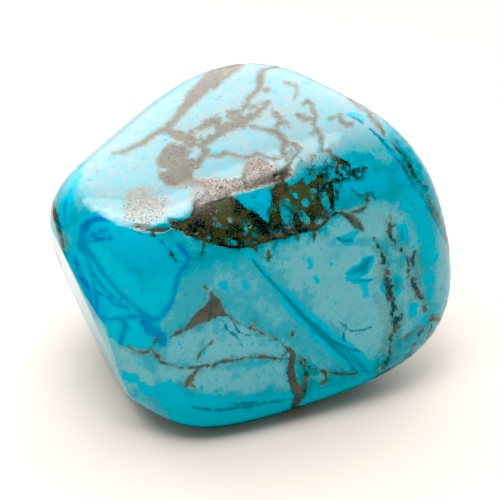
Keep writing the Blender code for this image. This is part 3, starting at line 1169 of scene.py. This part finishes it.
turquoise = mix(ramp(seam_gap, 0.06, -0.06, 0.0, 0.85), turquoise, DEEP)
print("nodes so far:", len(nodes))

# %% [markdown]
# The brown rock is a patchwork of dark, olive and rusty grains. One noise would give grains of
# one size, so several are laid over each other, each with its own colour.

# %% Brown rock colours
BLACK_BROWN = (0.040, 0.018, 0.008)
DARK_BROWN = (0.108, 0.038, 0.020)
MID_BROWN = (0.152, 0.074, 0.030)
OLIVE = (0.170, 0.112, 0.042)
RUST = (0.245, 0.110, 0.036)
OCHRE = (0.300, 0.250, 0.170)
# tan of the speckled zones, partly the rock's own colour and partly painted highlight
TAN = (0.500, 0.410, 0.360)
# grey of the rock on the pale crown, partly its own colour and partly painted sheen
ROCK_GREY_AND_SHEEN = (0.300, 0.305, 0.235)

rock_cloud, rock_grain = mottle(1.3, 4, 0.65, 0.051), mottle(0.40, 4, 0.7, 0.067)
rock = mix(ramp(rock_cloud, -0.08, 0.10), DARK_BROWN, MID_BROWN)
rock = mix(ramp(mottle(2.3, 3, 0.5, 0.083), 0.0, 0.14, 0.0, 0.8), rock, OLIVE)
rock = mix(ramp(rock_grain, 0.08, 0.20, 0.0, 0.6), rock, RUST)
rock = mix(ramp(mottle(0.22, 3, 0.7, 0.091), 0.14, 0.26, 0.0, 0.4), rock, OCHRE)
rock = mix(ramp(mottle(0.30, 4, 0.75, 0.149), 0.08, 0.20, 0.0, 0.8), rock, SMOKY)
print("nodes so far:", len(nodes))

# %% [markdown]
# The stored distance to a vein would give a smooth edge, so noise of several sizes is added to
# it first, and the edge turns ragged. On the far side a coarse net of cracks joins the veins.

# %% Where the rock shows
FAR_CELL = 5.5                       # spacing of the cracks in mm, here and in the next cell

ragged = total(scaled(mottle(0.7, 5, 0.65, 0.029), 0.7), scaled(dust, 0.3))
far_net = total(cracks(FAR_CELL), scaled(mottle(3.0, 3, 0.5, 0.043), 1.6))
far_gap = total(far_net, ramp(mark("far side"), 0.0, 1.0, 3.0, 0.12))
stained_mark = mark("stained")
torn = ramp(total(stained_mark, scaled(cloud, 0.8)), 0.25, -0.15, 0.0, 1.3)
strands = mottle(0.42, 5, 0.75, 0.171, 2.5)
brown_mark = mark("brown")
brown_gap = total(calc("MINIMUM", brown_mark, far_gap), ragged, scaled(strands, torn))
rock_shows = ramp(brown_gap, total(scaled(is_pale_and_sheen, 0.24), 0.07), total(scaled(is_pale_and_sheen, -0.15), -0.06))

print("nodes so far:", len(nodes))

# %% [markdown]
# In the broken zones the rock is a net of threads and crumbs, and small islands of blue are left
# in its solid parts. Two nets of cracks of different size make the threads.

# %% Broken rock
CRACK_CELL, CRUMB_CELL, ISLAND_CELL = 1.5, 0.62, 0.85

is_broken = ramp(total(mark("broken"), scaled(cloud, 0.8)), 0.35, -0.35)
thread_gap = calc("MINIMUM", cracks(CRACK_CELL), scaled(cracks(CRUMB_CELL, 0.019), 1.5))
thread_gap = total(thread_gap, scaled(is_broken, -0.10), scaled(grain, 0.9), 0.08)
threads = scaled(ramp(thread_gap, 0.06, -0.05), ramp(is_broken, 0.1, 0.6))
crumb_field = total(mottle(0.6, 5, 0.75, 0.157), scaled(is_broken, 0.06))
crumbs = scaled(ramp(crumb_field, 0.07, 0.15), is_broken)

island_size = ramp(mottle(1.4, 2, 0.5, 0.071), 0.0, 0.1, 0.6, 0.13)
island_gap = total(scaled(cracks(ISLAND_CELL, 0.031), -1.0), island_size)
islands = scaled(ramp(island_gap, 0.05, -0.05), is_broken)
rock_shows = scaled(rock_shows, calc("SUBTRACT", 1.0, scaled(islands, 0.9)))
rock_shows = calc("MAXIMUM", rock_shows, scaled(calc("MAXIMUM", threads, crumbs), 0.8))

print("nodes so far:", len(nodes))

# %% [markdown]
# Last the rock and the turquoise are put together. Round the veins the rock stains the blue and
# leaves an ochre fringe, and on the crown it is scattered as tan specks. Where the stone is pale
# the rock and its stain are greyer, and in the speckled zones the rock is a bright tan. Both are
# partly the rock's own colour and partly painted sheen and painted highlight, as these zones lie
# under the crown's sheen and the brow's highlight.

# %% Colour of the whole stone
is_speckled = ramp(total(mark("speckled"), scaled(cloud, 0.8)), 0.3, -0.3)
darker = scaled(torn, ramp(is_pale_and_sheen, 0.4, 0.8, 0.9, 0.0))
rock = mix(scaled(darker, ramp(rock_cloud, -0.05, 0.10, 1.0, 0.15)), rock, BLACK_BROWN)
# partly painted sheen and painted highlight: the rock turns grey on the crown and tan under the highlight
rock = mix(ramp(is_pale_and_sheen, 0.4, 1.0, 0.0, 0.4), rock, mix(is_speckled, ROCK_GREY_AND_SHEEN, TAN))
speck_field = total(scaled(mottle(0.50, 4, 0.65, 0.077), 0.6), mottle(1.3, 3, 0.5, 0.101))
specks = scaled(ramp(speck_field, -0.22, 0.02), is_speckled)

stain_gap = calc("MINIMUM", total(brown_mark, 0.1), stained_mark)
stain_gap = total(stain_gap, scaled(grain, 3.0), scaled(dust, 1.6))
stain = scaled(ramp(stain_gap, 0.60, -0.40), ramp(is_pale_and_sheen, 0.0, 1.0, 0.60, 0.30))
fringe = scaled(ramp(brown_gap, 0.34, 0.04), ramp(mottle(1.0, 3, 0.5, 0.097), -0.05, 0.15))
# the stain is greyer on the crown, partly painted sheen
stone_colour = mix(stain, turquoise, mix(is_pale_and_sheen, SMOKY, ROCK_GREY_AND_SHEEN))
stone_colour = mix(scaled(fringe, 0.4), stone_colour, OCHRE)
# partly painted highlight: bright tan specks where the brow's highlight falls on the rock
stone_colour = mix(scaled(specks, 0.75), stone_colour, mix(ramp(rock_grain, -0.2, 0.3), OCHRE, TAN))
stone_colour = mix(rock_shows, stone_colour, rock)
print("nodes so far:", len(nodes))

# %% [markdown]
# The polish is almost a mirror on the turquoise. On the brown rock it is interrupted by tiny
# pinholes, which are rougher and dented by the bump, and are painted dark as painted shade in
# each pit. This is what breaks up the highlight there. A coat over a dull stone would
# shine alike everywhere, so the stone itself is polished and its roughness follows the rock.

# %% Polish
BLUE_ROUGHNESS, ROCK_ROUGHNESS, PORE_ROUGHNESS = 0.13, 0.19, 0.4
SHINE = 1.8                          # index of refraction
BUMP_STRENGTH, BUMP_HEIGHT = 0.25, 0.06

pore_field = mottle(0.13, 2, 0.6, 0.113)
pores = scaled(ramp(pore_field, 0.05, 0.14), calc("MAXIMUM", rock_shows, scaled(is_speckled, 0.8)))
# painted shade: each pinhole is darkened as if its pit lay in shade
stone_colour = mix(scaled(pores, 0.85), stone_colour, DARK_BROWN)
links.new(stone_colour, shader.inputs["Base Color"])

rough = total(ramp(rock_shows, 0.0, 1.0, BLUE_ROUGHNESS, ROCK_ROUGHNESS), scaled(pores, PORE_ROUGHNESS))
rough = total(rough, ramp(grain, 0.0, 0.3, 0.0, 0.04))
links.new(rough, shader.inputs["Roughness"])
shader.inputs["IOR"].default_value = SHINE

height = total(scaled(rock_shows, -0.5), scaled(pores, -1.2), scaled(dust, 0.25), scaled(grain, 0.3))
bump = nodes.new("ShaderNodeBump")
bump.inputs["Strength"].default_value = BUMP_STRENGTH
bump.inputs["Distance"].default_value = BUMP_HEIGHT * MM
links.new(height, bump.inputs["Height"])
links.new(bump.outputs["Normal"], shader.inputs["Normal"])

skin.materials.clear()
skin.materials.append(polish)
print("nodes in the finish:", len(nodes))

# %% [markdown]
# The table is a plain white sheet, large enough that no edge shows from any side. It could be
# swept up behind the stone, but the camera looks down and sees only the level part. The sheet
# itself glows faintly warm, a painted light with no lamp behind it, so the shadow under the
# stone turns warm, not blue.

# %% Table
TABLE_WIDTH = 3000.0
PAPER = (0.755, 0.72, 0.67, 1.0)
PAINTED_WARM_GLOW = (0.11, 0.03, 0.01, 1.0)     # faint warm glow painted into the sheet
PAPER_ROUGHNESS = 0.7

bpy.ops.object.select_all(action="DESELECT")
bpy.ops.mesh.primitive_plane_add(size=TABLE_WIDTH * MM, location=(0, 0, 0))
table = bpy.context.object
table.name = "table"
paper = bpy.data.materials.new("white paper")
paper.use_nodes = True
paper_shader = paper.node_tree.nodes["Principled BSDF"]
paper_shader.inputs["Base Color"].default_value = PAPER
paper_shader.inputs["Roughness"].default_value = PAPER_ROUGHNESS
paper_shader.inputs["Specular IOR Level"].default_value = 0.0
# painted light: the sheet glows faintly warm, so its shadows turn warm
paper_shader.inputs["Emission Color"].default_value = PAINTED_WARM_GLOW
paper_shader.inputs["Emission Strength"].default_value = 1.0
table.data.materials.append(paper)
print("table:", TABLE_WIDTH, "mm wide")

# %% [markdown]
# A softbox hangs close over the camera side. Its mirror image is the broad highlight along the
# brow, and its near edge gives the highlight a crisp lower border. It is two area lights, one
# inside the other, because a real softbox is brighter towards its middle.

# %% Lights
def softbox(name, middle, width, depth, radiance):
    """A level light. radiance is what a mirror would show, where 1 is white paper."""
    data = bpy.data.lights.new(name, "AREA")
    data.shape = "RECTANGLE"
    data.size, data.size_y = width * MM, depth * MM
    data.energy = radiance * math.pi * data.size * data.size_y
    item = bpy.data.objects.new(name, data)
    item.location = Vector(middle) * MM
    bpy.context.scene.collection.objects.link(item)
    print(name, "gives", round(data.energy, 4), "W")


BOX_HEIGHT = 200.0
BOX_SIDEWAYS = -40.0
BOX_NEAR_EDGE = -106.0
for name, width, depth, radiance in (("overhead core", 140, 60, 5.2), ("overhead", 180, 100, 2.4)):
    softbox(name, (BOX_SIDEWAYS, BOX_NEAR_EDGE + depth / 2, BOX_HEIGHT), width, depth, radiance)

# %% [markdown]
# The room is bright towards the back, which gives the crown its pale sheen, and dim towards the
# camera, which keeps the front of the stone saturated. A picture of a studio would do the same,
# but a plain run from dim to bright is enough and easy to change. Looked at directly, the room
# is a white backdrop.

# %% Room
ROOM_FRONT, ROOM_BACK = 0.26, 2.52   # radiance low in front, and high behind the stone
ROOM_TURN = (0.3, 1.0)               # where, towards BRIGHT_SIDE, the one runs into the other
BRIGHT_SIDE = (-0.05, 0.71, 0.70)    # direction of the brightest part
BACKDROP = 1.2                       # radiance of the room where it is looked at directly

world = bpy.data.worlds.new("studio")
bpy.context.scene.world = world
world.use_nodes = True
nodes, links = world.node_tree.nodes, world.node_tree.links     # the helpers now work on the room
towards = nodes.new("ShaderNodeVectorMath")
towards.operation = "DOT_PRODUCT"
towards.inputs[1].default_value = BRIGHT_SIDE
links.new(nodes.new("ShaderNodeTexCoord").outputs["Generated"], towards.inputs[0])
room = ramp(towards.outputs["Value"], *ROOM_TURN, ROOM_FRONT, ROOM_BACK)
looked_at = nodes.new("ShaderNodeLightPath").outputs["Is Camera Ray"]
brightness = calc("MAXIMUM", room, scaled(looked_at, BACKDROP))
links.new(brightness, nodes["Background"].inputs["Strength"])
nodes["Background"].inputs["Color"].default_value = (1, 1, 1, 1)
print("room from", ROOM_FRONT, "to", ROOM_BACK)

# %% [markdown]
# The picture is printed as in a catalogue, with a little extra contrast: what is nearly black
# becomes black, and more so in the reds, which makes the blues cleaner. The lights could be made
# harder instead, but that would change the highlight too.

# %% Print
BLACK_POINT = (0.14, 0.060, 0.045)   # red, green, blue

view = bpy.context.scene.view_settings
view.view_transform = "Standard"
view.use_curve_mapping = True
view.curve_mapping.black_level = BLACK_POINT
view.curve_mapping.update()
print("black point:", BLACK_POINT)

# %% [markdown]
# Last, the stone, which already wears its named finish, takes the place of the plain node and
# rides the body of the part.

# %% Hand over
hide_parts("nugget")
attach(stone, "root")
